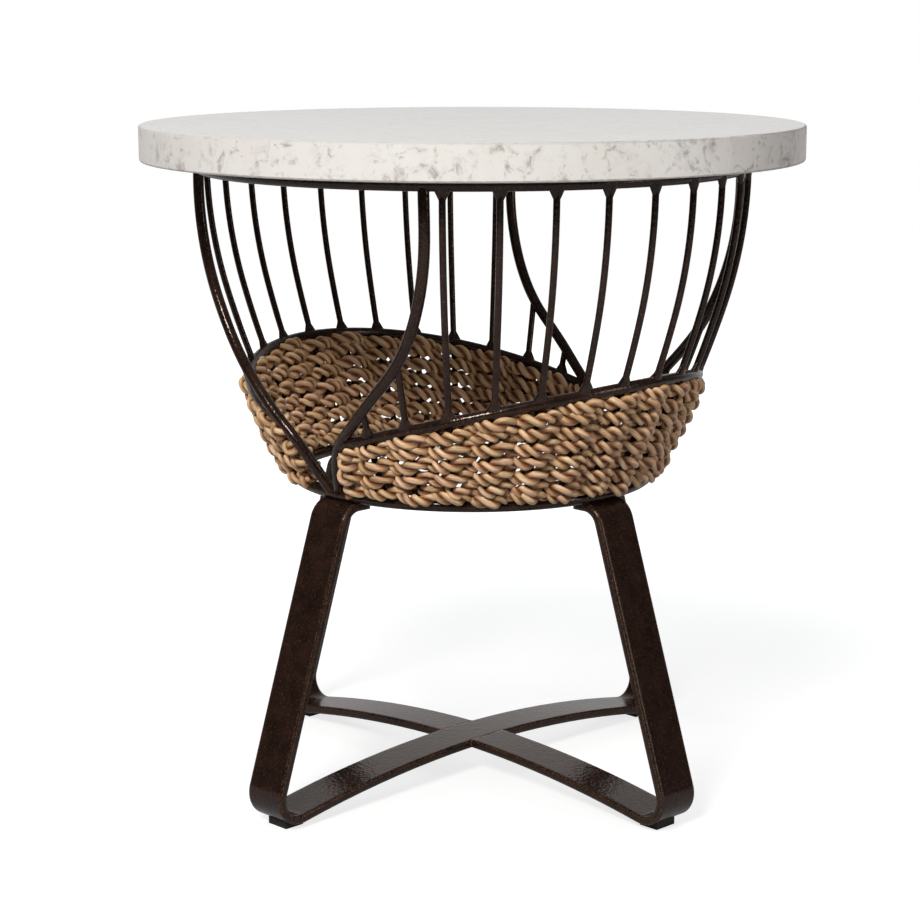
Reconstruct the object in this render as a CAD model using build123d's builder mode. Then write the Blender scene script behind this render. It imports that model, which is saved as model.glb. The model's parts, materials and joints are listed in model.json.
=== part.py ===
from build123d import *
import math
import os

# Round side table: a thick stone disc on a bowl-shaped steel cage with two woven
# panels, standing on four splayed flat-bar legs that run on as an arched cross.
# Millimetres, +Z up, floor at Z = 0. The two open mouths of the cage face -Y and +Y.

# stone disc
HEIGHT = 618.0
TOP_DIAMETER = 610.0
TOP_THICKNESS = 32.0
TOP_EASE = 2.0
TOP_OVERHANG = 51.2

# rod stock
RING_ROD = 11.0
ROD = 10.0
SPINDLE_ROD = 6.0
WELD_GAP = 0.1

# bowl surface on which the rods of the cage lie: two tangent arcs in every radial plane
CAGE_TOP_RADIUS = TOP_DIAMETER / 2 - TOP_OVERHANG
TOP_RING_STEP = 2.3
TOP_RING_RADIUS = CAGE_TOP_RADIUS - TOP_RING_STEP
UPPER_ARC = 420.0
UPPER_SWEEP = 17.0
LOWER_ARC = 900.0
CAGE_DEPTH = 293.0
CAGE_TURN = -2.0

# mouth rods: depths below the stone, and lengths along the bowl from the middle of a mouth
MOUTH_HALF_ANGLE = 38.0
UPPER_BEND_DEPTH = 119.0
UPPER_BEND_RADIUS = 200.0
LOWER_BEND_DEPTH = 250.0
LOWER_BEND_SIDE = 24.0
LOWER_BEND_RADIUS = 40.0
MOUTH_CLEARANCE = 0.6
FOOT_SIDE = ROD / 2 + MOUTH_CLEARANCE
MOUTH_STEPS = 12

# rim rods, each in one tilted plane whose crest is turned from the panel's middle
RIM_PLANE_DEPTH = 246.0
RIM_SLOPE = 0.277
RIM_TURN = 5.0
RIM_STEPS = 12

# spindles of one panel
SPINDLE_COUNT = 14
SPINDLE_PITCH = 10.75
FULL_SPINDLES = 10
GUSSET_LENGTH = 14.0
GUSSET_WIDTH = 18.0
GUSSET_DEPTH = 8.0
GUSSET_TIP = 4.4

# woven panels
WEAVE_HALF = 9.0
WEAVE_END_SIDE = FOOT_SIDE + ROD / 2 + MOUTH_CLEARANCE
WEAVE_FOOT = 2.0
WEAVE_SPAN = 92.0
WEAVE_TOP_GAP = 1.0

# flat-bar legs
BAR_WIDTH = 44.0
BAR_THICK = 8.0
BAR_EASE = 1.5
PAD_HEIGHT = 5.0
LEG_TILT = 18.0
FOOT_BEND = 21.0
TAB_BEND = 18.0
TAB_RUN = 16.6
TAB_INSET = 3.5
TAB_SADDLE = 0.8
ARCH_RISE = 22.0

# foot pads
PAD_WIDTH = 24.0
PAD_DEPTH = 20.0
PAD_LAP = 3.0

# hidden fixings of the stone disc
TAB_COUNT = 4
TAB_FIRST_ANGLE = 45.0
TAB_WIDTH = 30.0
TAB_THICK = 3.0
TAB_LENGTH = 33.5
TAB_INNER_RADIUS = TOP_RING_RADIUS - TAB_LENGTH
TAB_HOLE = 6.6
TAB_REACH = RING_ROD / 4
SCREW_INSET = 21.5
SCREW_CIRCLE_RADIUS = TOP_RING_RADIUS - SCREW_INSET
SCREW_ROD = 6.0
SCREW_LENGTH = 16.0
SCREW_HEAD = 12.0
SCREW_HEAD_HEIGHT = 3.6
SOCKET_SIZE = 4.0
SOCKET_DEPTH = 2.0
INSERT_ROD = 10.0
INSERT_LENGTH = 18.0
FIXING_CLEARANCE = 0.1

# heights and centres that follow from the sizes above
UNDERSIDE_Z = HEIGHT - TOP_THICKNESS
TOP_RING_Z = UNDERSIDE_Z - RING_ROD / 2
BOTTOM_RING_Z = UNDERSIDE_Z - CAGE_DEPTH
UPPER_BEND_Z = UNDERSIDE_Z - UPPER_BEND_DEPTH
LOWER_BEND_Z = UNDERSIDE_Z - LOWER_BEND_DEPTH
RIM_PLANE_Z = UNDERSIDE_Z - RIM_PLANE_DEPTH
RIM_CREST_Z = RIM_PLANE_Z + RIM_SLOPE * CAGE_TOP_RADIUS
SWEEP = math.radians(UPPER_SWEEP)
UPPER_CENTRE = (CAGE_TOP_RADIUS - UPPER_ARC, TOP_RING_Z)
JOIN = (
    UPPER_CENTRE[0] + UPPER_ARC * math.cos(SWEEP),
    UPPER_CENTRE[1] - UPPER_ARC * math.sin(SWEEP),
)
LOWER_CENTRE = (
    JOIN[0] - LOWER_ARC * math.cos(SWEEP),
    JOIN[1] + LOWER_ARC * math.sin(SWEEP),
)


def bowl_radius(z):
    """Radius of the bowl surface at height z."""
    if z >= JOIN[1]:
        return UPPER_CENTRE[0] + math.sqrt(UPPER_ARC**2 - (UPPER_CENTRE[1] - z) ** 2)
    return LOWER_CENTRE[0] + math.sqrt(LOWER_ARC**2 - (LOWER_CENTRE[1] - z) ** 2)


def lower_angle(z):
    """Angle of the lower arc at height z, in degrees below level."""
    return math.degrees(math.asin((LOWER_CENTRE[1] - z) / LOWER_ARC))


def polar(radius, azimuth, z):
    """Point at a radius, an azimuth in degrees and a height."""
    a = math.radians(azimuth)
    return (radius * math.cos(a), radius * math.sin(a), z)


def lower_point(angle, reach, azimuth):
    """Point at an angle of the lower arc, at a reach outside the bowl surface."""
    a = math.radians(angle)
    radius = LOWER_CENTRE[0] + (LOWER_ARC + reach) * math.cos(a)
    return polar(radius, azimuth, LOWER_CENTRE[1] - (LOWER_ARC + reach) * math.sin(a))


def radial_plane(azimuth):
    """Plane through the Z axis: local X outward at the azimuth, local Y up."""
    a = math.radians(azimuth)
    return Plane(
        origin=(0, 0, 0),
        x_dir=(math.cos(a), math.sin(a), 0),
        z_dir=(math.sin(a), -math.cos(a), 0),
    )


BOTTOM_RING_RADIUS = bowl_radius(BOTTOM_RING_Z)
RIM_HALF_ANGLE = 90.0 - math.degrees(LOWER_BEND_SIDE / bowl_radius(LOWER_BEND_Z))
made = {}


def keep(part, name):
    """Name a finished piece and remember it for writing."""
    part.label = name
    made[name] = part


# stone disc with eased rims and blind holes for the inserts
tab_angles = [TAB_FIRST_ANGLE + 360.0 / TAB_COUNT * i for i in range(TAB_COUNT)]
screw_spots = [polar(SCREW_CIRCLE_RADIUS, a, 0)[:2] for a in tab_angles]
with BuildPart() as stone_top:
    with BuildSketch(Plane.XY.offset(UNDERSIDE_Z)):
        Circle(TOP_DIAMETER / 2)
    extrude(amount=TOP_THICKNESS)
    fillet(stone_top.edges(), radius=TOP_EASE)
    with BuildSketch(Plane.XY.offset(UNDERSIDE_Z)):
        with Locations(*screw_spots):
            Circle(INSERT_ROD / 2 + FIXING_CLEARANCE)
    extrude(amount=INSERT_LENGTH, mode=Mode.SUBTRACT)
keep(stone_top.part, "stone_top")

# rings
with BuildPart() as top_ring:
    with BuildSketch(Plane.XZ):
        with Locations((TOP_RING_RADIUS, TOP_RING_Z)):
            Circle(RING_ROD / 2)
    revolve(axis=Axis.Z)
keep(top_ring.part, "top_ring")

with BuildPart() as bottom_ring:
    with BuildSketch(Plane.XZ):
        with Locations((BOTTOM_RING_RADIUS, BOTTOM_RING_Z)):
            Circle(RING_ROD / 2)
    revolve(axis=Axis.Z)
keep(bottom_ring.part, "bottom_ring")


def mouth_inset(z):
    """How far a mouth rod is drawn in from the bowl surface, to end over the top ring."""
    share = max(0.0, (z - UPPER_BEND_Z) / (TOP_RING_Z - UPPER_BEND_Z))
    return TOP_RING_STEP * share**2


def mouth_course():
    """Developed course of a mouth rod: sideways length against height."""
    top_side = math.radians(MOUTH_HALF_ANGLE) * bowl_radius(TOP_RING_Z)
    with BuildLine() as course:
        Polyline(
            (top_side, TOP_RING_Z),
            (top_side, UPPER_BEND_Z),
            (LOWER_BEND_SIDE, LOWER_BEND_Z),
            (FOOT_SIDE, BOTTOM_RING_Z),
        )
        corners = course.vertices().sort_by(Axis.Y)
        fillet(corners[1], radius=LOWER_BEND_RADIUS)
        corners = course.vertices().sort_by(Axis.Y)
        fillet(corners[-2], radius=UPPER_BEND_RADIUS)
    return course.wires()[0]


def mouth_points(mouth_azimuth, side):
    """Points of a mouth rod on the bowl, from the top ring down."""
    course = mouth_course()
    down = 0 if (course @ 0).Y > (course @ 1).Y else 1
    points = []
    for i in range(MOUTH_STEPS + 1):
        spot = course @ abs(down - i / MOUTH_STEPS)
        radius = bowl_radius(spot.Y) - mouth_inset(spot.Y)
        turn = math.degrees(spot.X / bowl_radius(spot.Y))
        points.append(polar(radius, mouth_azimuth + side * turn, spot.Y))
    return points


# four mouth rods, bent twice on the bowl and coped onto both rings
mouth_rods = []
mouth_sleeves = []
for mouth_name, mouth_azimuth in (("front", CAGE_TURN - 90.0), ("back", CAGE_TURN + 90.0)):
    for side_name, side in (("a", 1), ("b", -1)):
        with BuildPart() as mouth_rod:
            with BuildLine() as mouth_line:
                Spline(*mouth_points(mouth_azimuth, side))
            with BuildSketch(Plane(mouth_line.line @ 0, z_dir=mouth_line.line % 0)):
                Circle(ROD / 2)
            sweep()
            add(top_ring.part, mode=Mode.SUBTRACT)
            add(bottom_ring.part, mode=Mode.SUBTRACT)
        mouth_rods.append(mouth_rod.part)
        keep(mouth_rod.part, f"mouth_rod_{mouth_name}_{side_name}")
        with BuildPart() as mouth_sleeve:
            with BuildSketch(Plane(mouth_line.line @ 0, z_dir=mouth_line.line % 0)):
                Circle(ROD / 2 + WELD_GAP)
            sweep(path=mouth_line.line)
        mouth_sleeves.append(mouth_sleeve.part)


def rim_angle(azimuth):
    """Angle of the lower arc at which the tilted rim plane meets the bowl surface,
    at an azimuth from the middle of the panel."""
    lean = RIM_SLOPE * math.cos(math.radians(azimuth - RIM_TURN))
    drop = LOWER_CENTRE[1] - RIM_PLANE_Z - lean * LOWER_CENTRE[0]
    slant = math.asin(drop / LOWER_ARC / math.hypot(1, lean))
    return math.degrees(slant - math.atan(lean))


# two rim rods, cut to butt on the mouth rods at both ends
panels = (("right", CAGE_TURN), ("left", CAGE_TURN + 180.0))
rim_stations = [2 * i / RIM_STEPS - 1 for i in range(RIM_STEPS + 1)]
for panel_name, panel_azimuth in panels:
    turns = [RIM_HALF_ANGLE * station for station in rim_stations]
    with BuildPart() as rim_rod:
        with BuildLine() as rim_line:
            Spline(*[lower_point(rim_angle(a), 0.0, panel_azimuth + a) for a in turns])
        with BuildSketch(Plane(rim_line.line @ 0, z_dir=rim_line.line % 0)):
            Circle(ROD / 2)
        sweep()
        for sleeve_part in mouth_sleeves:
            add(sleeve_part, mode=Mode.SUBTRACT)
        add(rim_rod.solids().sort_by(SortBy.VOLUME)[-1], mode=Mode.REPLACE)
    keep(rim_rod.part, f"rim_rod_{panel_name}")


def spindle_azimuth(index):
    """Azimuth of a spindle from the middle of its panel."""
    return SPINDLE_PITCH * (index - (SPINDLE_COUNT - 1) / 2)


def short_top(azimuth):
    """Height at which a short spindle meets the mouth rod that crosses it, or the
    lower bend where none does."""
    end = 1 if azimuth > 0 else -1
    points = mouth_points(end * 90.0, -end)
    for upper, lower in zip(points, points[1:]):
        a = math.degrees(math.atan2(upper[1], upper[0]))
        b = math.degrees(math.atan2(lower[1], lower[0]))
        if min(a, b) <= azimuth <= max(a, b):
            share = (azimuth - a) / (b - a)
            return upper[2] + share * (lower[2] - upper[2])
    return LOWER_BEND_Z


def spindle_wire(plane, top_z, foot_angle):
    """Course on the bowl in a radial plane, from a height down to an angle of the lower arc."""
    with BuildLine(plane) as path:
        if top_z > JOIN[1]:
            begin = math.degrees(math.asin((TOP_RING_Z - top_z) / UPPER_ARC))
            CenterArc(UPPER_CENTRE, UPPER_ARC, -begin, begin - UPPER_SWEEP)
            CenterArc(LOWER_CENTRE, LOWER_ARC, -UPPER_SWEEP, UPPER_SWEEP - foot_angle)
        else:
            begin = lower_angle(top_z)
            CenterArc(LOWER_CENTRE, LOWER_ARC, -begin, begin - foot_angle)
    return path.wires()[0]


# spindles, butted on the rim rods with weld gussets: full ones hang from the top ring,
# the outermost ones from a mouth rod
short_each_end = (SPINDLE_COUNT - FULL_SPINDLES) // 2
for panel_name, panel_azimuth in panels:
    for index in range(SPINDLE_COUNT):
        azimuth = spindle_azimuth(index)
        is_full = short_each_end <= index < SPINDLE_COUNT - short_each_end
        top_z = TOP_RING_Z if is_full else short_top(azimuth)
        wire = spindle_wire(radial_plane(panel_azimuth + azimuth), top_z, rim_angle(azimuth))
        across = polar(1, panel_azimuth + azimuth + 90.0, 0)
        gussets = [(wire @ 1, -(wire % 1))]
        if is_full:
            gussets.append((wire @ 0, wire % 0))
        with BuildPart() as spindle:
            with BuildSketch(Plane(wire @ 0, z_dir=wire % 0)):
                Circle(SPINDLE_ROD / 2)
            sweep(path=wire)
            for spot, along in gussets:
                with BuildSketch(Plane(spot, x_dir=across, z_dir=along)):
                    Ellipse(GUSSET_WIDTH / 2, GUSSET_DEPTH / 2)
                with BuildSketch(Plane(spot + along * GUSSET_LENGTH, x_dir=across, z_dir=along)):
                    Circle(GUSSET_TIP / 2)
                loft()
            add(made[f"rim_rod_{panel_name}"], mode=Mode.SUBTRACT)
            for carrier in [top_ring.part] if is_full else mouth_rods:
                add(carrier, mode=Mode.SUBTRACT)
        keep(spindle.part, f"spindle_{panel_name}_{index + 1:02d}")

# stakes of the weave, from the rim rod to the bottom ring in line with the spindles
foot_angle = lower_angle(BOTTOM_RING_Z)
stake_sleeves = {}
for panel_name, panel_azimuth in panels:
    stake_paths = []
    for index in range(SPINDLE_COUNT):
        azimuth = spindle_azimuth(index)
        rim_z = lower_point(rim_angle(azimuth), 0.0, 0.0)[2]
        stake_paths.append(spindle_wire(radial_plane(panel_azimuth + azimuth), rim_z, foot_angle))
    with BuildPart() as weave_stakes:
        for path in stake_paths:
            with BuildSketch(Plane(path @ 0, z_dir=path % 0)):
                Circle(SPINDLE_ROD / 2)
            sweep(path=path)
        add(made[f"rim_rod_{panel_name}"], mode=Mode.SUBTRACT)
        add(bottom_ring.part, mode=Mode.SUBTRACT)
    keep(weave_stakes.part, f"weave_stakes_{panel_name}")
    with BuildPart() as stake_sleeve:
        for path in stake_paths:
            with BuildSketch(Plane(path @ 0, z_dir=path % 0)):
                Circle(SPINDLE_ROD / 2 + WELD_GAP)
            sweep(path=path)
    stake_sleeves[panel_name] = stake_sleeve.part


def weave_edge(panel_azimuth, reach):
    """Line just under the rim rod of a panel, at a reach from the bowl surface."""
    under_rim = math.degrees((ROD / 2 + WEAVE_TOP_GAP) / LOWER_ARC)
    turns = [WEAVE_SPAN * station for station in rim_stations]
    points = [lower_point(rim_angle(a) + under_rim, reach, panel_azimuth + a) for a in turns]
    return Edge.make_spline(points)


# woven panels: a wall round the stakes, from the rim rod to the bottom ring and from mouth to mouth
weave_first = lower_angle(RIM_CREST_Z)
weave_sweep = weave_first - lower_angle(BOTTOM_RING_Z + WEAVE_FOOT)
mouth_lean = math.atan((LOWER_BEND_SIDE - FOOT_SIDE) / (LOWER_BEND_Z - BOTTOM_RING_Z))
for panel_name, panel_azimuth in panels:
    lid = Face.make_surface_from_curves(
        weave_edge(panel_azimuth, -2 * WEAVE_HALF), weave_edge(panel_azimuth, 2 * WEAVE_HALF)
    )
    end_plane = Plane(
        origin=polar(WEAVE_END_SIDE, panel_azimuth, BOTTOM_RING_Z),
        z_dir=polar(math.cos(mouth_lean), panel_azimuth, -math.sin(mouth_lean)),
    )
    with BuildPart() as woven_panel:
        with BuildSketch(radial_plane(panel_azimuth - 90)):
            with BuildLine():
                outer = CenterArc(LOWER_CENTRE, LOWER_ARC + WEAVE_HALF, -weave_first, weave_sweep)
                inner = CenterArc(LOWER_CENTRE, LOWER_ARC - WEAVE_HALF, -weave_first, weave_sweep)
                Line(outer @ 0, inner @ 0)
                Line(outer @ 1, inner @ 1)
            make_face()
        revolve(axis=Axis.Z, revolution_arc=180)
        split(bisect_by=end_plane, keep=Keep.TOP)
        split(bisect_by=lid, keep=Keep.TOP)
        for sleeve_part in mouth_sleeves:
            add(sleeve_part, mode=Mode.SUBTRACT)
        add(bottom_ring.part, mode=Mode.SUBTRACT)
        add(stake_sleeves[panel_name], mode=Mode.SUBTRACT)
        add(woven_panel.solids().sort_by(SortBy.VOLUME)[-1], mode=Mode.REPLACE)
    keep(woven_panel.part, f"woven_panel_{panel_name}")

# run of a flat bar in a radial plane: tab under the ring, leg, foot bend, arch
arm_z = PAD_HEIGHT + BAR_THICK / 2
tilt = math.radians(LEG_TILT)
tab_z = BOTTOM_RING_Z - RING_ROD / 2 + TAB_SADDLE - BAR_THICK / 2
tab_centre = (BOTTOM_RING_RADIUS - TAB_INSET, tab_z - TAB_BEND)
leg_head = (
    tab_centre[0] + TAB_BEND * math.cos(tilt),
    tab_centre[1] + TAB_BEND * math.sin(tilt),
)
foot_z = arm_z + FOOT_BEND
leg_foot_z = foot_z + FOOT_BEND * math.sin(tilt)
leg_foot = (leg_head[0] + (leg_head[1] - leg_foot_z) * math.tan(tilt), leg_foot_z)
foot_radius = leg_foot[0] - FOOT_BEND * math.cos(tilt)
foot_centre = (foot_radius, foot_z)
arch_angle = 2 * math.degrees(math.atan(ARCH_RISE / foot_radius))
arch_radius = foot_radius / math.sin(math.radians(arch_angle)) - FOOT_BEND
arch_centre_z = arm_z + ARCH_RISE - arch_radius


def leg_run(side):
    """Tab, leg and foot bend on one side of the cross, in the current line."""
    foot_start = LEG_TILT if side > 0 else 180.0 - LEG_TILT
    foot_turn = LEG_TILT + 90.0 + arch_angle
    Line((side * (BOTTOM_RING_RADIUS - TAB_RUN), tab_z), (side * tab_centre[0], tab_z))
    CenterArc((side * tab_centre[0], tab_centre[1]), TAB_BEND, 90.0, -side * (90.0 - LEG_TILT))
    Line((side * leg_head[0], leg_head[1]), (side * leg_foot[0], leg_foot[1]))
    CenterArc((side * foot_centre[0], foot_centre[1]), FOOT_BEND, foot_start, -side * foot_turn)


def bar_edges(part, across, along):
    """The edges of a bar's two sides, except those where it ends at the middle."""
    sides = part.faces().sort_by(across)
    edges = sides[0].edges() + sides[-1].edges()
    return edges.filter_by(
        lambda e: e.geom_type != GeomType.LINE or abs(e.center().dot(along)) > BAR_WIDTH
    )


# one bar runs through from the front leg to the back leg
with BuildPart() as leg_bar_through:
    with BuildSketch(Plane.YZ):
        with BuildLine():
            leg_run(-1)
            CenterArc((0, arch_centre_z), arch_radius, 90.0 + arch_angle, -2 * arch_angle)
            leg_run(1)
        trace(line_width=BAR_THICK)
    extrude(amount=BAR_WIDTH / 2, both=True)
    fillet(bar_edges(leg_bar_through, Axis.X, Vector(0, 1, 0)), radius=BAR_EASE)
    add(bottom_ring.part, mode=Mode.SUBTRACT)
keep(leg_bar_through.part, "leg_bar_through")

# the two side bars end on the edges of the through bar
butt_angle = math.degrees(math.asin((BAR_WIDTH / 2 - BAR_EASE) / arch_radius))
for side_name, side in (("right", 1), ("left", -1)):
    arch_start = 90.0 - side * arch_angle
    with BuildPart() as leg_bar_side:
        with BuildSketch(Plane.XZ):
            with BuildLine():
                leg_run(side)
                CenterArc((0, arch_centre_z), arch_radius, arch_start, side * (arch_angle - butt_angle))
            trace(line_width=BAR_THICK)
        extrude(amount=BAR_WIDTH / 2, both=True)
        fillet(bar_edges(leg_bar_side, Axis.Y, Vector(1, 0, 0)), radius=BAR_EASE)
        add(bottom_ring.part, mode=Mode.SUBTRACT)
        add(leg_bar_through.part, mode=Mode.SUBTRACT)
    keep(leg_bar_side.part, f"leg_bar_{side_name}")

# foot pads, shaped to the undersides of the foot bends
for pad_name, pad_azimuth, bar_name in (
    ("front", -90.0, "leg_bar_through"),
    ("right", 0.0, "leg_bar_right"),
    ("back", 90.0, "leg_bar_through"),
    ("left", 180.0, "leg_bar_left"),
):
    pad_spot = polar(foot_radius, pad_azimuth, 0)
    pad_plane = Plane(pad_spot, x_dir=polar(1, pad_azimuth, 0), z_dir=(0, 0, 1))
    with BuildPart() as foot_pad:
        with BuildSketch(pad_plane):
            Rectangle(PAD_DEPTH, PAD_WIDTH)
        extrude(amount=PAD_HEIGHT + PAD_LAP)
        add(made[bar_name], mode=Mode.SUBTRACT)
    keep(foot_pad.part, f"foot_pad_{pad_name}")

# fixing tabs welded inside the top ring, flush with the underside of the stone
tab_length = TAB_LENGTH - TAB_REACH
with BuildPart() as fixing_tabs:
    for angle in tab_angles:
        tab_spot = (0, 0, UNDERSIDE_Z - TAB_THICK)
        with BuildSketch(Plane(tab_spot, x_dir=polar(1, angle, 0), z_dir=(0, 0, 1))):
            with Locations((TAB_INNER_RADIUS + tab_length / 2, 0)):
                Rectangle(tab_length, TAB_WIDTH)
            with Locations((SCREW_CIRCLE_RADIUS, 0)):
                Circle(TAB_HOLE / 2, mode=Mode.SUBTRACT)
        extrude(amount=TAB_THICK)
    add(top_ring.part, mode=Mode.SUBTRACT)
keep(fixing_tabs.part, "fixing_tabs")

# threaded inserts set in the stone
with BuildPart() as threaded_inserts:
    with BuildSketch(Plane.XY.offset(UNDERSIDE_Z)):
        with Locations(*screw_spots):
            Circle(INSERT_ROD / 2)
            Circle(SCREW_ROD / 2 + FIXING_CLEARANCE / 2, mode=Mode.SUBTRACT)
    extrude(amount=INSERT_LENGTH)
keep(threaded_inserts.part, "threaded_inserts")

# button-head screws with hexagon sockets, up through the tabs
with BuildPart() as fixing_screws:
    head_z = UNDERSIDE_Z - TAB_THICK
    with BuildSketch(Plane.XY.offset(head_z)):
        with Locations(*screw_spots):
            Circle(SCREW_ROD / 2)
    extrude(amount=SCREW_LENGTH)
    with BuildSketch(Plane.XY.offset(head_z - SCREW_HEAD_HEIGHT)):
        with Locations(*screw_spots):
            Circle(SCREW_HEAD / 2)
    extrude(amount=SCREW_HEAD_HEIGHT)
    with BuildSketch(Plane.XY.offset(head_z - SCREW_HEAD_HEIGHT)):
        with Locations(*screw_spots):
            RegularPolygon(SOCKET_SIZE / 2, 6, major_radius=False)
    extrude(amount=SOCKET_DEPTH, mode=Mode.SUBTRACT)
keep(fixing_screws.part, "fixing_screws")

os.makedirs("parts", exist_ok=True)
for name, part in made.items():
    export_step(part, f"parts/{name}.step")
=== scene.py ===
import json
import math

import bpy
import numpy as np
from mathutils import Euler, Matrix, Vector


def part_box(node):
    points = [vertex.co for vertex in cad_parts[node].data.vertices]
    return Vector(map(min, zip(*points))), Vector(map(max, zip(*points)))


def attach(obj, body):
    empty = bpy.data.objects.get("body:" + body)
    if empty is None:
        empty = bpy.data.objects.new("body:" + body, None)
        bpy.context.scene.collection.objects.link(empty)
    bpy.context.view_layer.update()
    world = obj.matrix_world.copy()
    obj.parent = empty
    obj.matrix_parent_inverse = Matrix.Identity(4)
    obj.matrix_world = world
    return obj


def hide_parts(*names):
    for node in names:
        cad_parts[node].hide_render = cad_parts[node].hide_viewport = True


# Dresses the round side table: painted metal, veined stone, beads of weld, and two panels of
# twisted cord woven round the stakes. Metres, in the frame of the CAD model.
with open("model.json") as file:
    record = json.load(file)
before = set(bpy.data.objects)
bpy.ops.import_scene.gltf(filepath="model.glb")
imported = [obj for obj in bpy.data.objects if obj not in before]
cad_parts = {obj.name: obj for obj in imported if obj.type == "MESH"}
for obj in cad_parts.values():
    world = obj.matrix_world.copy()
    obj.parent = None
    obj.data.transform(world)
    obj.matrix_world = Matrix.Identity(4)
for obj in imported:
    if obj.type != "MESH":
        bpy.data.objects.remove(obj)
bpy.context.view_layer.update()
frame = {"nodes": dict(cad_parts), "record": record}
nodes = frame["nodes"]

# bowl surface on which all the rods lie, as in the CAD source
CAGE_TOP_RADIUS = 0.2538
UPPER_ARC = 0.420
UPPER_SWEEP = math.radians(17.0)
LOWER_ARC = 0.900
ROD = 0.010
SPINDLE_ROD = 0.006

# rim rods, mouth rods and spindles, as in the CAD source
CAGE_TURN = math.radians(-2.0)
RIM_PLANE_DEPTH = 0.246
RIM_SLOPE = 0.277
RIM_TURN = math.radians(5.0)
LOWER_BEND_DEPTH = 0.250
LOWER_BEND_SIDE = 0.024
UPPER_SIDE_SLOPE = 1.1
FOOT_GAP = 0.0006
FOOT_SIDE = ROD / 2 + FOOT_GAP
SPINDLE_COUNT = 14
SPINDLE_PITCH = math.radians(10.75)

# cord of the woven panels: two plies laid round each other, flattened on the stakes
PLY_RADIUS_UP = 0.0037
PLY_RADIUS_OUT = 0.0030
PLY_SWING_UP = 0.0033
PLY_SWING_OUT = 0.0018
LAY_LENGTH = 0.025
LAY_DRIFT = 0.5
DRIFT_LENGTH = 0.045
CORD_HALF_DEPTH = PLY_RADIUS_OUT + PLY_SWING_OUT
POST_CLEARANCE = SPINDLE_ROD / 2 + CORD_HALF_DEPTH
ROW_PITCH = 0.0075
FIRST_ROW = 0.0072
PAIR_SHIFT = 0.0030
BORDER_RISE = 0.0100
SHORT_ROW_RISE = 0.0150
STEP = 0.0020
SPAN_STEPS = 1441
PLY_SIDES = 12
SQUEEZE = 0.12
SQUEEZE_POWER = 1.3
SWELL = 0.09
SWELL_LENGTH = 0.0083
SWELL_STRAY = 0.010
TINT_STRAY = 0.22
STRAY_UP = 0.0008
STRAY_OUT = 0.0004
END_TUCK = 0.018
TURN_REACH = 0.0050
TURN_STEPS = 16
MOUTH_GAP = 0.0009
MOUTH_ROOM = ROD / 2 + MOUTH_GAP + CORD_HALF_DEPTH + TURN_REACH
END_AZIMUTH = math.radians(84.0)
SEED = 11

# cross of the legs, as in the CAD source, and the beads of weld in its corners
BAR_WIDTH = 0.044
BAR_THICK = 0.008
PAD_HEIGHT = 0.005
ARCH_RISE = 0.022
cross_top_z = PAD_HEIGHT + ARCH_RISE + BAR_THICK
BEAD_RADIUS = 0.0027
BEAD_RIPPLE = 0.12
BEAD_LUMPS = 2.5
BEAD_SINK = 0.0007
BEAD_RINGS = 25
BEAD_SIDES = 18

# ends of the colour ramps
BLACK = (0.0, 0.0, 0.0)
WHITE = (1.0, 1.0, 1.0)

# edges of the flat bars, rounded in the shading
EDGE_RADIUS = 0.0042
EDGE_SAMPLES = 8

# studio
FLOOR_REACH = 2.6
FLOOR_COLOUR = (0.32, 0.32, 0.32)
FLOOR_GLOW = 0.77
SHADOW_RADIUS = 0.45
WHITE_RADIUS = 1.1
GLOSSY_SHARE = 0.25
STUDIO_LOW = (0.075, 0.075, 0.080)
STUDIO_HIGH = (0.19, 0.192, 0.20)
STUDIO_FRONT = (0.05, 0.05, 0.05)
STUDIO_BACK = (0.68, 0.675, 0.67)
BACKDROP_WAY = (-0.70, 0.70, 0.10)

# camera fitted to the rims of the stone and the feet
CAMERA_PLACE = (1.5488, -1.5387, 0.7346)
CAMERA_TURN = (math.radians(78.772), math.radians(0.044), math.radians(45.48))
FOCAL_LENGTH = 91.998
SENSOR_WIDTH = 36.0

underside_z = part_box("stone_top")[0].z
top_ring_low, top_ring_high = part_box("top_ring")
bottom_ring_low, bottom_ring_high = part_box("bottom_ring")
top_ring_z = (top_ring_low.z + top_ring_high.z) / 2
bottom_ring_z = (bottom_ring_low.z + bottom_ring_high.z) / 2
rim_plane_z = underside_z - RIM_PLANE_DEPTH
lower_bend_z = underside_z - LOWER_BEND_DEPTH
upper_centre_r = CAGE_TOP_RADIUS - UPPER_ARC
lower_centre_r = upper_centre_r + (UPPER_ARC - LOWER_ARC) * math.cos(UPPER_SWEEP)
lower_centre_z = top_ring_z + (LOWER_ARC - UPPER_ARC) * math.sin(UPPER_SWEEP)
ring_angle = math.asin((lower_centre_z - bottom_ring_z) / LOWER_ARC)
mean_radius = lower_centre_r + LOWER_ARC * math.cos(ring_angle)


# bowl surface
def rim_angle(azimuth):
    """Angle of the lower arc at the rim rod, at azimuths from the panel's middle."""
    lean = RIM_SLOPE * np.cos(azimuth - RIM_TURN)
    drop = lower_centre_z - rim_plane_z - lean * lower_centre_r
    return np.arcsin(drop / LOWER_ARC / np.hypot(1, lean)) - np.arctan(lean)


def bowl_upward(angle, azimuth):
    """Upward tangent of the bowl."""
    out = np.stack([np.cos(azimuth), np.sin(azimuth), np.zeros_like(azimuth)], axis=-1)
    up = np.array([0.0, 0.0, 1.0])
    return out * np.sin(angle)[..., None] + up * np.cos(angle)[..., None]


def bowl_point(angle, azimuth, reach):
    """Point of the lower arc at a reach outside the bowl surface."""
    radius = lower_centre_r + (LOWER_ARC + reach) * np.cos(angle)
    z = lower_centre_z - (LOWER_ARC + reach) * np.sin(angle)
    return np.stack([radius * np.cos(azimuth), radius * np.sin(azimuth), z], axis=-1)


def smooth(share):
    """Eases a share from 0 to 1."""
    share = np.clip(share, 0.0, 1.0)
    return share * share * (3 - 2 * share)


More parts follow.
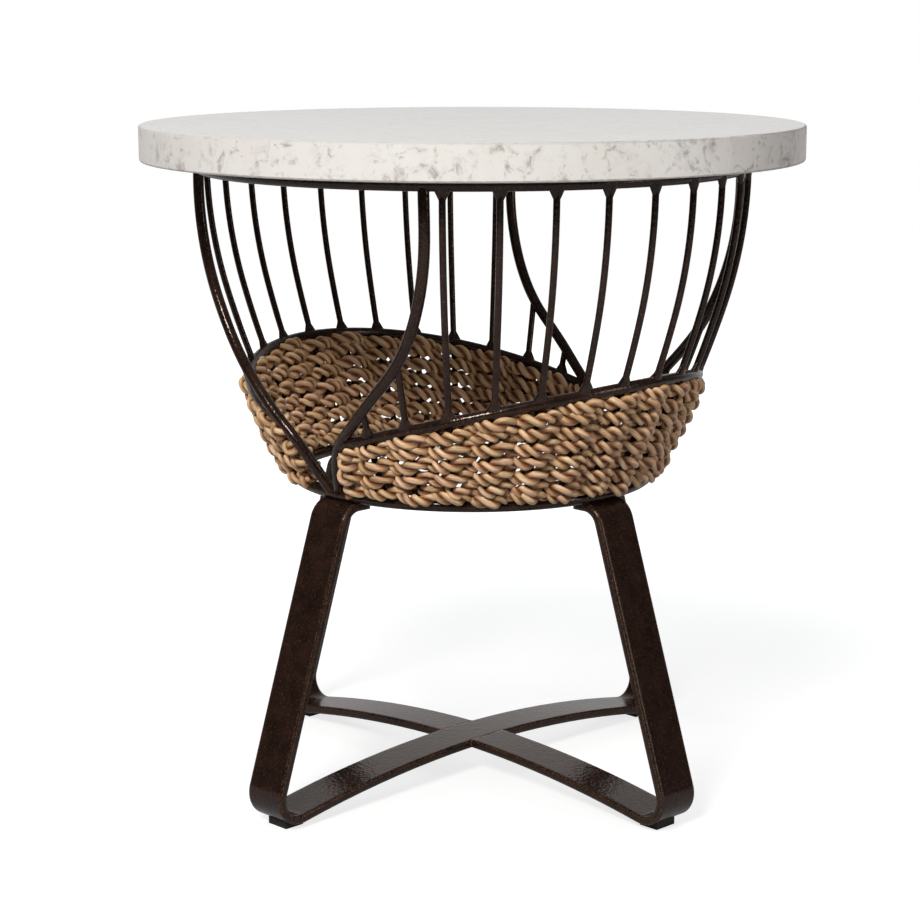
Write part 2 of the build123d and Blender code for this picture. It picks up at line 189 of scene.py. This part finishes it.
# materials
def new_material(name):
    material = bpy.data.materials.new(name)
    material.use_nodes = True
    tree = material.node_tree
    return material, tree, tree.nodes["Principled BSDF"]


def add_node(tree, kind, **inputs):
    """A node with its input sockets set by name."""
    node = tree.nodes.new(kind)
    for name, value in inputs.items():
        node.inputs[name.replace("_", " ")].default_value = value
    return node


def ramp(tree, source, stops):
    """A colour ramp over a factor, from (place, colour) stops."""
    node = tree.nodes.new("ShaderNodeValToRGB")
    elements = node.color_ramp.elements
    while len(elements) < len(stops):
        elements.new(0.5)
    for element, (place, colour) in zip(elements, stops):
        element.position = place
        element.color = (*colour, 1.0)
    tree.links.new(source, node.inputs["Fac"])
    return node.outputs["Color"]


def mix_colours(tree, factor, first, second, blend="MIX"):
    node = tree.nodes.new("ShaderNodeMix")
    node.data_type = "RGBA"
    node.blend_type = blend
    for name, value in (("Factor", factor), ("A", first), ("B", second)):
        socket = node.inputs[name]
        if isinstance(value, bpy.types.NodeSocket):
            tree.links.new(value, socket)
        elif isinstance(value, tuple):
            socket.default_value = (*value, 1.0)
        else:
            socket.default_value = value
    return node.outputs["Result"]


def calculate(tree, operation, *values):
    """A sum, product or other operation on sockets and numbers."""
    node = tree.nodes.new("ShaderNodeMath")
    node.operation = operation
    for socket, value in zip(node.inputs, values):
        if isinstance(value, bpy.types.NodeSocket):
            tree.links.new(value, socket)
        else:
            socket.default_value = value
    return node.outputs["Value"]


def noise(tree, vector, scale, detail=4.0, roughness=0.55, distortion=0.0):
    node = add_node(
        tree, "ShaderNodeTexNoise", Scale=scale, Detail=detail, Roughness=roughness, Distortion=distortion
    )
    tree.links.new(vector, node.inputs["Vector"])
    return node.outputs["Fac"]


def stretched(tree, vector, scale):
    """Coordinates stretched along an axis."""
    node = tree.nodes.new("ShaderNodeMapping")
    node.inputs["Scale"].default_value = scale
    tree.links.new(vector, node.inputs["Vector"])
    return node.outputs["Vector"]


def bump(tree, bsdf, height, distance, strength=1.0, normal=None):
    node = add_node(tree, "ShaderNodeBump", Strength=strength, Distance=distance)
    tree.links.new(height, node.inputs["Height"])
    if normal is not None:
        tree.links.new(normal, node.inputs["Normal"])
    tree.links.new(node.outputs["Normal"], bsdf.inputs["Normal"])


def object_space(tree):
    return tree.nodes.new("ShaderNodeTexCoord").outputs["Object"]


def stone_veins(tree, place, scale, threshold):
    """Curved veins along the middle level of a noise, dark inside a soft halo, broken into short lengths."""
    level = noise(tree, place, scale, detail=4.0, roughness=0.55, distortion=0.8)
    away = calculate(tree, "ABSOLUTE", calculate(tree, "SUBTRACT", level, 0.5))
    line = ramp(
        tree,
        away,
        [(0.0, WHITE), (0.018, (0.70, 0.70, 0.70)), (0.045, (0.20, 0.20, 0.20)), (0.12, BLACK)],
    )
    length = ramp(
        tree,
        noise(tree, place, scale * 1.7, detail=3.0, distortion=0.4),
        [(threshold, BLACK), (threshold + 0.16, WHITE)],
    )
    return calculate(tree, "MULTIPLY", line, length)


def stone_material():
    """Pale stone, polished on top and honed on its rim, with clouds, smudges, short veins and pinholes;
    painted reflection fades the marks on the top, and painted shade darkens the arris.
    """
    material, tree, bsdf = new_material("stone")
    place = object_space(tree)
    long_veins = stone_veins(tree, place, 38.0, 0.50)
    short_veins = stone_veins(tree, place, 66.0, 0.54)
    veins = calculate(tree, "MAXIMUM", long_veins, short_veins)
    smudge = noise(tree, place, 62.0, detail=4.0, distortion=0.7)
    smudge = ramp(tree, smudge, [(0.60, BLACK), (0.76, WHITE)])
    pinhole = noise(tree, place, 210.0, detail=2.0)
    pinhole = ramp(tree, pinhole, [(0.60, BLACK), (0.70, WHITE)])
    pinhole = calculate(tree, "MULTIPLY", pinhole, calculate(tree, "MAXIMUM", veins, smudge))
    marks = calculate(tree, "MAXIMUM", veins, calculate(tree, "MULTIPLY", smudge, 0.30))
    marks = calculate(tree, "MAXIMUM", marks, pinhole)
    facing = tree.nodes.new("ShaderNodeSeparateXYZ")
    tree.links.new(tree.nodes.new("ShaderNodeNewGeometry").outputs["Normal"], facing.inputs["Vector"])
    level = calculate(tree, "ABSOLUTE", facing.outputs["Z"])
    # painted reflection: the marks fade on the top, as if washed out by its gloss
    painted_reflection_fade = calculate(tree, "MULTIPLY_ADD", level, -0.75, 1.0)
    marks = calculate(tree, "MULTIPLY", marks, calculate(tree, "MULTIPLY", painted_reflection_fade, 0.76))
    cloud = ramp(
        tree,
        noise(tree, place, 14.0, detail=5.0),
        [(0.3, (0.80, 0.735, 0.71)), (0.5, (0.81, 0.785, 0.76)), (0.7, (0.79, 0.765, 0.705))],
    )
    stain = noise(tree, place, 150.0, detail=4.0)
    stain = ramp(tree, stain, [(0.35, (0.20, 0.155, 0.13)), (0.65, (0.38, 0.32, 0.29))])
    colour = mix_colours(tree, marks, cloud, stain)
    # painted shade: the rounded arris between top and side is about a fifth darker than the rest of the stone
    painted_arris_shade = ramp(
        tree,
        level,
        [(0.1, WHITE), (0.4, (0.80, 0.80, 0.80)), (0.9, (0.82, 0.82, 0.82)), (0.995, WHITE)],
    )
    colour = mix_colours(tree, 1.0, colour, painted_arris_shade, blend="MULTIPLY")
    tree.links.new(colour, bsdf.inputs["Base Color"])
    honed = ramp(tree, level, [(0.97, (0.36, 0.36, 0.36)), (1.0, (0.16, 0.16, 0.16))])
    tree.links.new(honed, bsdf.inputs["Roughness"])
    bump(tree, bsdf, noise(tree, place, 40.0), 0.0002, strength=0.15)
    return material


def bronze_material(name, flat_bar=False):
    """Dark bronze hammered paint: ripples under gloss and small warm flakes, bared along a bar's edges."""
    material, tree, bsdf = new_material(name)
    place = object_space(tree)
    flakes = add_node(tree, "ShaderNodeTexVoronoi", Scale=900.0)
    tree.links.new(place, flakes.inputs["Vector"])
    chance = tree.nodes.new("ShaderNodeSeparateColor")
    tree.links.new(flakes.outputs["Color"], chance.inputs["Color"])
    body = ramp(
        tree,
        noise(tree, place, 70.0, detail=6.0),
        [(0.3, (0.010, 0.0050, 0.0037)), (0.55, (0.020, 0.0092, 0.0065)), (0.8, (0.031, 0.0135, 0.0088))],
    )
    glint = ramp(tree, chance.outputs["Red"], [(0.90, BLACK), (1.0, WHITE)])
    colour = mix_colours(tree, glint, body, (0.110, 0.055, 0.027))
    metal = calculate(tree, "MULTIPLY", glint, 0.7)
    gloss = calculate(tree, "MULTIPLY_ADD", noise(tree, place, 25.0), 0.12, 0.08)
    normal = None
    if flat_bar:
        rounded = add_node(tree, "ShaderNodeBevel", Radius=EDGE_RADIUS)
        rounded.samples = EDGE_SAMPLES
        normal = rounded.outputs["Normal"]
        turn = tree.nodes.new("ShaderNodeVectorMath")
        turn.operation = "DOT_PRODUCT"
        tree.links.new(normal, turn.inputs[0])
        tree.links.new(tree.nodes.new("ShaderNodeNewGeometry").outputs["Normal"], turn.inputs[1])
        edge = ramp(tree, turn.outputs["Value"], [(0.84, WHITE), (0.985, BLACK)])
        bare = ramp(tree, chance.outputs["Green"], [(0.45, BLACK), (0.60, WHITE)])
        bare = calculate(tree, "MULTIPLY", bare, edge)
        colour = mix_colours(tree, bare, colour, (0.46, 0.27, 0.15))
        metal = calculate(tree, "MAXIMUM", metal, bare)
        gloss = calculate(tree, "MULTIPLY_ADD", bare, 0.30, gloss)
    tree.links.new(colour, bsdf.inputs["Base Color"])
    tree.links.new(metal, bsdf.inputs["Metallic"])
    tree.links.new(gloss, bsdf.inputs["Roughness"])
    bsdf.inputs["Specular IOR Level"].default_value = 0.35
    bsdf.inputs["Specular Tint"].default_value = (1.0, 0.86, 0.80, 1.0)
    ripple = noise(tree, place, 270.0, detail=2.0, roughness=0.5)
    bump(tree, bsdf, ripple, 0.0006, strength=0.6, normal=normal)
    return material


def seagrass_material():
    """Twisted plant fibre: streaks along each ply, plies that differ in tint, and painted shade in the
    creases between the plies.
    """
    material, tree, bsdf = new_material("seagrass")
    along = tree.nodes.new("ShaderNodeUVMap")
    along.uv_map = "strand"
    tint = tree.nodes.new("ShaderNodeUVMap")
    tint.uv_map = "tint"
    tint_and_crease_shade_parts = tree.nodes.new("ShaderNodeSeparateXYZ")
    tree.links.new(tint.outputs["UV"], tint_and_crease_shade_parts.inputs["Vector"])
    fine = stretched(tree, along.outputs["UV"], (45.0, 460.0, 1.0))
    fibre = noise(tree, fine, 1.0, detail=5.0, roughness=0.6)
    broad = stretched(tree, along.outputs["UV"], (22.0, 120.0, 1.0))
    patch = noise(tree, broad, 1.0, detail=3.0)
    body = ramp(
        tree,
        patch,
        [
            (0.26, (0.39, 0.220, 0.122)),
            (0.42, (0.71, 0.465, 0.284)),
            (0.58, (0.93, 0.660, 0.440)),
            (0.76, (0.98, 0.785, 0.580)),
        ],
    )
    rope_tint = ramp(
        tree,
        tint_and_crease_shade_parts.outputs["X"],
        [
            (0.0, (0.82, 0.72, 0.64)),
            (0.3, (1.0, 0.98, 0.95)),
            (0.6, (1.0, 0.92, 0.86)),
            (0.8, (0.97, 0.97, 0.86)),
            (1.0, (0.88, 0.85, 0.73)),
        ],
    )
    colour = mix_colours(tree, 1.0, body, rope_tint, blend="MULTIPLY")
    streak = ramp(tree, fibre, [(0.30, (0.42, 0.36, 0.32)), (0.55, WHITE)])
    colour = mix_colours(tree, 0.72, colour, streak, blend="MULTIPLY")
    # painted shade: each ply darkens towards the crease against its partner ply
    painted_crease_shade = ramp(
        tree,
        tint_and_crease_shade_parts.outputs["Y"],
        [
            (0.2, WHITE),
            (0.42, (0.80, 0.68, 0.58)),
            (0.7, (0.32, 0.205, 0.135)),
            (1.0, (0.10, 0.055, 0.03)),
        ],
    )
    colour = mix_colours(tree, 1.0, colour, painted_crease_shade, blend="MULTIPLY")
    tree.links.new(colour, bsdf.inputs["Base Color"])
    bsdf.inputs["Roughness"].default_value = 0.43
    bsdf.inputs["Specular IOR Level"].default_value = 0.45
    bump(tree, bsdf, fibre, 0.0007, strength=0.8)
    return material


def rubber_material():
    """Matt black rubber with a fine moulded grain."""
    material, tree, bsdf = new_material("pad_rubber")
    place = object_space(tree)
    grain = noise(tree, place, 300.0)
    colour = ramp(tree, grain, [(0.3, (0.008, 0.008, 0.008)), (0.7, (0.02, 0.019, 0.018))])
    tree.links.new(colour, bsdf.inputs["Base Color"])
    bsdf.inputs["Roughness"].default_value = 0.7
    bump(tree, bsdf, noise(tree, place, 900.0), 0.0003, strength=0.5)
    return material


def turned_metal(name, light, dark, roughness):
    """Bare metal with fine turning marks round the vertical."""
    material, tree, bsdf = new_material(name)
    lathe = stretched(tree, object_space(tree), (120.0, 120.0, 4000.0))
    marks = noise(tree, lathe, 1.0, detail=4.0)
    tree.links.new(ramp(tree, marks, [(0.3, dark), (0.7, light)]), bsdf.inputs["Base Color"])
    bsdf.inputs["Metallic"].default_value = 1.0
    bsdf.inputs["Roughness"].default_value = roughness
    bump(tree, bsdf, marks, 0.0001, strength=0.4)
    return material


materials = {
    "stone": stone_material(),
    "bronze_paint": bronze_material("bronze_paint"),
    "seagrass": seagrass_material(),
    "pad_rubber": rubber_material(),
    "screw_steel": turned_metal("screw_steel", (0.58, 0.58, 0.57), (0.34, 0.34, 0.35), 0.35),
    "insert_brass": turned_metal("insert_brass", (0.78, 0.60, 0.30), (0.52, 0.38, 0.17), 0.3),
}
bar_paint = bronze_material("bronze_paint_bar", flat_bar=True)
for subpart in frame["record"]["subparts"]:
    mesh = nodes[subpart["node"]].data
    mesh.materials.clear()
    if subpart["node"].startswith("leg_bar"):
        mesh.materials.append(bar_paint)
    else:
        mesh.materials.append(materials[subpart["material_slot"]])


# woven panels
def mouth_side(z):
    """Distance of a mouth rod from the middle of its mouth."""
    share = (z - bottom_ring_z) / (lower_bend_z - bottom_ring_z)
    lower = FOOT_SIDE + (LOWER_BEND_SIDE - FOOT_SIDE) * min(max(share, 0.0), 1.0)
    return lower + UPPER_SIDE_SLOPE * max(z - lower_bend_z, 0.0)


def row_line(row):
    """The course of a row along the rim rod; the first two rows are a pair."""
    depth = FIRST_ROW if row == 0 else FIRST_ROW + PAIR_SHIFT + (row - 1) * ROW_PITCH
    return lambda azimuth: rim_angle(azimuth) + depth / LOWER_ARC


def border_line(row):
    """The course of one of the last two rows, a pair just above the bottom ring."""
    rise = BORDER_RISE + PAIR_SHIFT * row
    return lambda azimuth: np.full_like(azimuth, ring_angle - rise / LOWER_ARC)


def posts(line):
    """Azimuths of what a row is woven round: the stakes, and a turn beside each mouth rod."""
    stakes = [SPINDLE_PITCH * (index - (SPINDLE_COUNT - 1) / 2) for index in range(SPINDLE_COUNT)]
    turns = []
    for end in (-1, 1):
        angle = float(line(np.array(end * END_AZIMUTH)))
        z = lower_centre_z - LOWER_ARC * math.sin(angle)
        radius = lower_centre_r + LOWER_ARC * math.cos(angle)
        turns.append(end * (math.pi / 2 - math.asin((mouth_side(z) + MOUTH_ROOM) / radius)))
    return np.array([turns[0], *stakes, turns[1]])


def row_span(line):
    """Azimuths between which a row is clear of the last row, or nothing."""
    azimuths = np.linspace(-math.pi / 2, math.pi / 2, SPAN_STEPS)
    clear = azimuths[(ring_angle - line(azimuths)) * LOWER_ARC >= SHORT_ROW_RISE]
    return (clear.min(), clear.max()) if len(clear) else None


def woven_row(line, row, chance, span):
    """Azimuth, angle, reach and squeeze along one row, outside one stake and inside the next."""
    places = posts(line)
    sides = np.array([1 if (index + row) % 2 == 0 else -1 for index in range(len(places))])
    reaches = sides * POST_CLEARANCE + chance.normal(0, STRAY_OUT, len(places))
    strays = chance.normal(0, STRAY_UP, len(places))
    begin = max(span[0], places[0])
    end = min(span[1], places[-1])
    count = max(8, int((end - begin) * mean_radius / STEP))
    along = np.linspace(begin, end, count)
    gap = np.clip(np.searchsorted(places, along) - 1, 0, len(places) - 2)
    share = (along - places[gap]) / (places[gap + 1] - places[gap])
    eased = smooth(share)
    reach = reaches[gap] + (reaches[gap + 1] - reaches[gap]) * eased
    stray = strays[gap] + (strays[gap + 1] - strays[gap]) * eased
    squeeze = 1 - SQUEEZE * (1 - np.abs(2 * share - 1)) ** SQUEEZE_POWER
    for loose, distance in ((begin > places[0], along - begin), (end < places[-1], end - along)):
        if loose:
            tuck = smooth(1 - distance * mean_radius / END_TUCK)
            reach = reach * (1 - tuck) - POST_CLEARANCE * tuck
    return along, line(along) + stray / LOWER_ARC, reach, squeeze


def mouth_turn(row, at_end, before, after):
    """The cord's turn beside a mouth rod, from the end of one row to the start of the next."""
    starts_out = (row + (SPINDLE_COUNT + 1 if at_end else 0)) % 2 == 0
    turn = np.linspace(0.0, math.pi, TURN_STEPS)[1:-1]
    share = turn / math.pi
    azimuth = before[0] + (after[0] - before[0]) * share
    azimuth = azimuth + (1 if at_end else -1) * TURN_REACH * np.sin(turn) / mean_radius
    angle = before[1] + (after[1] - before[1]) * smooth(share)
    reach = (1 if starts_out else -1) * POST_CLEARANCE * np.cos(turn)
    return azimuth, angle, reach, np.ones_like(turn)


def panel_cords(chance):
    """Every cord of a panel as columns: azimuth, angle, reach and squeeze."""
    cords = []
    running = None
    row = 0
    while True:
        line = row_line(row)
        span = row_span(line)
        if span is None:
            break
        columns = woven_row(line, row, chance, span)
        places = posts(line)
        whole = span[0] < places[0] and span[1] > places[-1]
        if not whole:
            cords.append(columns)
        else:
            forward = row % 2 == 0
            if not forward:
                columns = [column[::-1] for column in columns]
            if running is None:
                running = [list(column) for column in columns]
            else:
                before = (running[0][-1], running[1][-1])
                turn = mouth_turn(row - 1, not forward, before, (columns[0][0], columns[1][0]))
                for cord, bend, column in zip(running, turn, columns):
                    cord.extend(bend)
                    cord.extend(column)
        row += 1
    cords.append([np.array(column) for column in running])
    for border in (0, 1):
        cords.append(woven_row(border_line(border), border, chance, (-math.pi / 2, math.pi / 2)))
    return cords


def resample(points, *columns):
    """The same line with even steps."""
    lengths = np.concatenate([[0.0], np.cumsum(np.linalg.norm(np.diff(points, axis=0), axis=1))])
    count = max(6, int(lengths[-1] / STEP))
    even = np.linspace(0.0, lengths[-1], count)
    spread = np.stack([np.interp(even, lengths, points[:, axis]) for axis in range(3)], axis=-1)
    return even, spread, [np.interp(even, lengths, column) for column in columns]


def cord_mesh(panel_azimuth, columns, chance):
    """Vertices, faces and texture places of the two plies of one cord."""
    azimuth, angle, reach, squeeze = columns
    points = bowl_point(angle, azimuth + panel_azimuth, reach)
    length, points, (angle, azimuth, squeeze) = resample(points, angle, azimuth, squeeze)
    forward = np.gradient(points, axis=0)
    forward /= np.linalg.norm(forward, axis=1)[:, None]
    upward = bowl_upward(angle, azimuth + panel_azimuth)
    upward = upward - forward * (upward * forward).sum(1)[:, None]
    upward /= np.linalg.norm(upward, axis=1)[:, None]
    outward = np.cross(upward, forward)
    phase = chance.uniform(0, 2 * math.pi) + 2 * math.pi * length / LAY_LENGTH
    phase = phase + LAY_DRIFT * np.sin(length / DRIFT_LENGTH * 2 * math.pi + chance.uniform(0, 6))
    around = np.linspace(0.0, 2 * math.pi, PLY_SIDES, endpoint=False)
    verts, faces, strand, tint = [], [], [], []
    cord_tint = chance.uniform(0, 1)
    for ply in range(2):
        swing = phase + ply * math.pi
        centre = points + outward * (PLY_SWING_OUT * np.cos(swing))[:, None]
        centre = centre + upward * (PLY_SWING_UP * squeeze * np.sin(swing))[:, None]
        wave = SWELL * np.sin(length / SWELL_LENGTH + chance.uniform(0, 6))
        swell = 1 + wave + chance.normal(0, SWELL_STRAY, len(length))
        across = np.cos(around)[None, :, None] * outward[:, None, :] * (PLY_RADIUS_OUT * swell)[:, None, None]
        upright = np.sin(around)[None, :, None] * upward[:, None, :]
        upright = upright * (PLY_RADIUS_UP * swell * squeeze)[:, None, None]
        first = len(verts)
        verts.extend((centre[:, None, :] + across + upright).reshape(-1, 3))
        ply_tint = np.clip(cord_tint + chance.normal(0, TINT_STRAY), 0, 1)
        start = chance.uniform(0, 40)
        # how far each point lies towards the crease against the partner ply, for the painted shade there
        painted_crease_shade = 0.5 - 0.5 * np.cos(around[None, :] - swing[:, None])
        for ring in range(len(length)):
            for side in range(PLY_SIDES):
                strand.append((length[ring] + start, side / PLY_SIDES * 2 * math.pi * PLY_RADIUS_UP))
                tint.append((ply_tint, painted_crease_shade[ring, side]))
        for ring in range(len(length) - 1):
            low = first + ring * PLY_SIDES
            for side in range(PLY_SIDES):
                after = (side + 1) % PLY_SIDES
                faces.append((low + side, low + after, low + PLY_SIDES + after, low + PLY_SIDES + side))
        last = first + (len(length) - 1) * PLY_SIDES
        faces.append(tuple(first + side for side in reversed(range(PLY_SIDES))))
        faces.append(tuple(last + side for side in range(PLY_SIDES)))
    return verts, faces, strand, tint


def smooth_mesh(name, verts, faces, material):
    mesh = bpy.data.meshes.new(name)
    mesh.from_pydata([tuple(v) for v in verts], [], faces)
    mesh.shade_smooth()
    mesh.materials.append(material)
    piece = bpy.data.objects.new(name, mesh)
    bpy.context.scene.collection.objects.link(piece)
    return piece


def fill_uv(mesh, name, values):
    layer = mesh.uv_layers.new(name=name)
    corners = np.zeros(len(mesh.loops), dtype=np.int32)
    mesh.loops.foreach_get("vertex_index", corners)
    layer.data.foreach_set("uv", np.array(values, dtype=np.float32)[corners].ravel())


def weave_panel(side, panel_azimuth, seed):
    """The cords of one panel, in place of its plain wall."""
    chance = np.random.RandomState(seed)
    verts, faces, strand, tint = [], [], [], []
    for columns in panel_cords(chance):
        cord_verts, cord_faces, cord_strand, cord_tint = cord_mesh(panel_azimuth, columns, chance)
        first = len(verts)
        verts.extend(cord_verts)
        faces.extend(tuple(first + corner for corner in face) for face in cord_faces)
        strand.extend(cord_strand)
        tint.extend(cord_tint)
    piece = smooth_mesh(f"weave_{side}", verts, faces, materials["seagrass"])
    fill_uv(piece.data, "strand", strand)
    # the second layer holds each ply's tint and the depth of its painted crease shade
    fill_uv(piece.data, "tint", tint)
    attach(piece, "root")
    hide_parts(f"woven_panel_{side}")


weave_panel("right", CAGE_TURN, SEED)
weave_panel("left", CAGE_TURN + math.pi, SEED + 1)


# weld beads in the corners of the cross
def weld_bead(name, corner_x, corner_y):
    """A rippled bead from the underside of the bars to just below their tops."""
    rise = np.linspace(0.0, 1.0, BEAD_RINGS)
    round_ends = np.sqrt(np.clip(1 - (2 * rise - 1) ** 6, 0.02, 1.0))
    ripple = 1 + BEAD_RIPPLE * np.sin(rise * 2 * math.pi * BEAD_LUMPS)
    heights = cross_top_z - BAR_THICK + BEAD_SINK + rise * (BAR_THICK - 2 * BEAD_SINK)
    around = np.linspace(0.0, 2 * math.pi, BEAD_SIDES, endpoint=False)
    verts, faces = [], []
    for height, radius in zip(heights, BEAD_RADIUS * round_ends * ripple):
        circle = [(radius * math.cos(angle), radius * math.sin(angle)) for angle in around]
        verts.extend((corner_x + x, corner_y + y, height) for x, y in circle)
    for ring in range(BEAD_RINGS - 1):
        low = ring * BEAD_SIDES
        for side in range(BEAD_SIDES):
            after = (side + 1) % BEAD_SIDES
            faces.append((low + side, low + after, low + BEAD_SIDES + after, low + BEAD_SIDES + side))
    faces.append(tuple(reversed(range(BEAD_SIDES))))
    faces.append(tuple(range(len(verts) - BEAD_SIDES, len(verts))))
    piece = smooth_mesh(name, verts, faces, materials["bronze_paint"])
    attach(piece, "root")


cross_corners = {"front": (1, -1), "right": (1, 1), "back": (-1, 1), "left": (-1, -1)}
for corner, (way_x, way_y) in cross_corners.items():
    weld_bead(f"weld_bead_{corner}", way_x * BAR_WIDTH / 2, way_y * BAR_WIDTH / 2)


# floor, light and camera
def make_floor():
    """Pale floor that keeps the shadow near the table and is plain white further out."""
    mesh = bpy.data.meshes.new("floor")
    reach = FLOOR_REACH
    corners = [(-reach, -reach, 0), (reach, -reach, 0), (reach, reach, 0), (-reach, reach, 0)]
    mesh.from_pydata(corners, [], [(0, 1, 2, 3)])
    floor = bpy.data.objects.new("floor", mesh)
    bpy.context.scene.collection.objects.link(floor)
    material, tree, bsdf = new_material("floor")
    bsdf.inputs["Roughness"].default_value = 0.9
    bsdf.inputs["Specular IOR Level"].default_value = 0.0
    bsdf.inputs["Base Color"].default_value = (*FLOOR_COLOUR, 1.0)
    distance = tree.nodes.new("ShaderNodeVectorMath")
    distance.operation = "LENGTH"
    tree.links.new(object_space(tree), distance.inputs[0])
    spread = tree.nodes.new("ShaderNodeMapRange")
    spread.interpolation_type = "SMOOTHSTEP"
    spread.inputs["From Min"].default_value = SHADOW_RADIUS
    spread.inputs["From Max"].default_value = WHITE_RADIUS
    spread.inputs["To Min"].default_value = FLOOR_GLOW
    spread.inputs["To Max"].default_value = 1.0
    tree.links.new(distance.outputs["Value"], spread.inputs["Value"])
    path = tree.nodes.new("ShaderNodeLightPath")
    seen = calculate(tree, "MAXIMUM", path.outputs["Is Camera Ray"], path.outputs["Is Transmission Ray"])
    glossy = calculate(tree, "MULTIPLY", path.outputs["Is Glossy Ray"], GLOSSY_SHARE)
    glow = calculate(tree, "MULTIPLY", spread.outputs["Result"], calculate(tree, "MAXIMUM", seen, glossy))
    bsdf.inputs["Emission Color"].default_value = (*WHITE, 1.0)
    tree.links.new(glow, bsdf.inputs["Emission Strength"])
    mesh.materials.append(material)


def make_world():
    """White to the camera; to the table a dim studio with a bright backdrop behind it."""
    world = bpy.data.worlds.new("studio")
    bpy.context.scene.world = world
    world.use_nodes = True
    tree = world.node_tree
    background = tree.nodes["Background"]
    direction = tree.nodes.new("ShaderNodeTexCoord").outputs["Generated"]
    height = tree.nodes.new("ShaderNodeSeparateXYZ")
    tree.links.new(direction, height.inputs["Vector"])
    studio = ramp(tree, height.outputs["Z"], [(0.0, STUDIO_LOW), (1.0, STUDIO_HIGH)])
    behind = tree.nodes.new("ShaderNodeVectorMath")
    behind.operation = "DOT_PRODUCT"
    tree.links.new(direction, behind.inputs[0])
    behind.inputs[1].default_value = BACKDROP_WAY
    stops = [(0.0, STUDIO_FRONT), (0.45, STUDIO_FRONT), (0.85, STUDIO_BACK)]
    backdrop = ramp(tree, behind.outputs["Value"], stops)
    path = tree.nodes.new("ShaderNodeLightPath")
    colour = mix_colours(tree, path.outputs["Is Glossy Ray"], studio, backdrop)
    seen = calculate(tree, "MAXIMUM", path.outputs["Is Camera Ray"], path.outputs["Is Transmission Ray"])
    colour = mix_colours(tree, seen, colour, WHITE)
    tree.links.new(colour, background.inputs["Color"])
    background.inputs["Strength"].default_value = 1.0


def area_light(name, place, target, size, power, colour=WHITE, mirrored=True):
    """A soft lamp; one that isn't mirrored leaves no highlight on paint or polish."""
    light = bpy.data.lights.new(name, "AREA")
    light.shape = "RECTANGLE"
    light.size, light.size_y = size
    light.energy = power
    light.color = colour
    holder = bpy.data.objects.new(name, light)
    bpy.context.scene.collection.objects.link(holder)
    holder.location = place
    aim = Vector(target) - Vector(place)
    holder.rotation_euler = aim.to_track_quat("-Z", "Y").to_euler()
    holder.visible_glossy = mirrored


def make_camera():
    data = bpy.data.cameras.new("camera")
    data.sensor_width = SENSOR_WIDTH
    data.lens = FOCAL_LENGTH
    camera = bpy.data.objects.new("camera", data)
    bpy.context.scene.collection.objects.link(camera)
    camera.location = CAMERA_PLACE
    camera.rotation_euler = Euler(CAMERA_TURN, "XYZ")
    bpy.context.scene.camera = camera


make_floor()
make_world()
area_light(
    "key", (1.10, -2.40, 2.36), (0.0, 0.0, 0.42), size=(0.8, 0.8), power=93.0, colour=(1.0, 0.975, 0.94)
)
area_light(
    "top", (0.78, -0.98, 2.35), (0.0, 0.0, 0.45), size=(0.9, 0.6), power=4.0, colour=(0.70, 0.92, 1.0)
)
area_light(
    "fill", (2.6, 0.9, 1.1), (0.0, 0.0, 0.40), size=(0.9, 1.4), power=14.0, colour=(1.0, 0.97, 0.93)
)
area_light("side", (-2.4, -0.9, 1.5), (0.0, 0.0, 0.40), size=(0.4, 1.6), power=9.0, mirrored=False)
area_light(
    "back",
    (-1.75, 1.95, 1.75),
    (0.0, 0.0, 0.40),
    size=(1.6, 1.2),
    power=26.0,
    colour=(0.86, 0.95, 1.0),
    mirrored=False,
)
make_camera()
bpy.context.scene.view_settings.view_transform = "Standard"
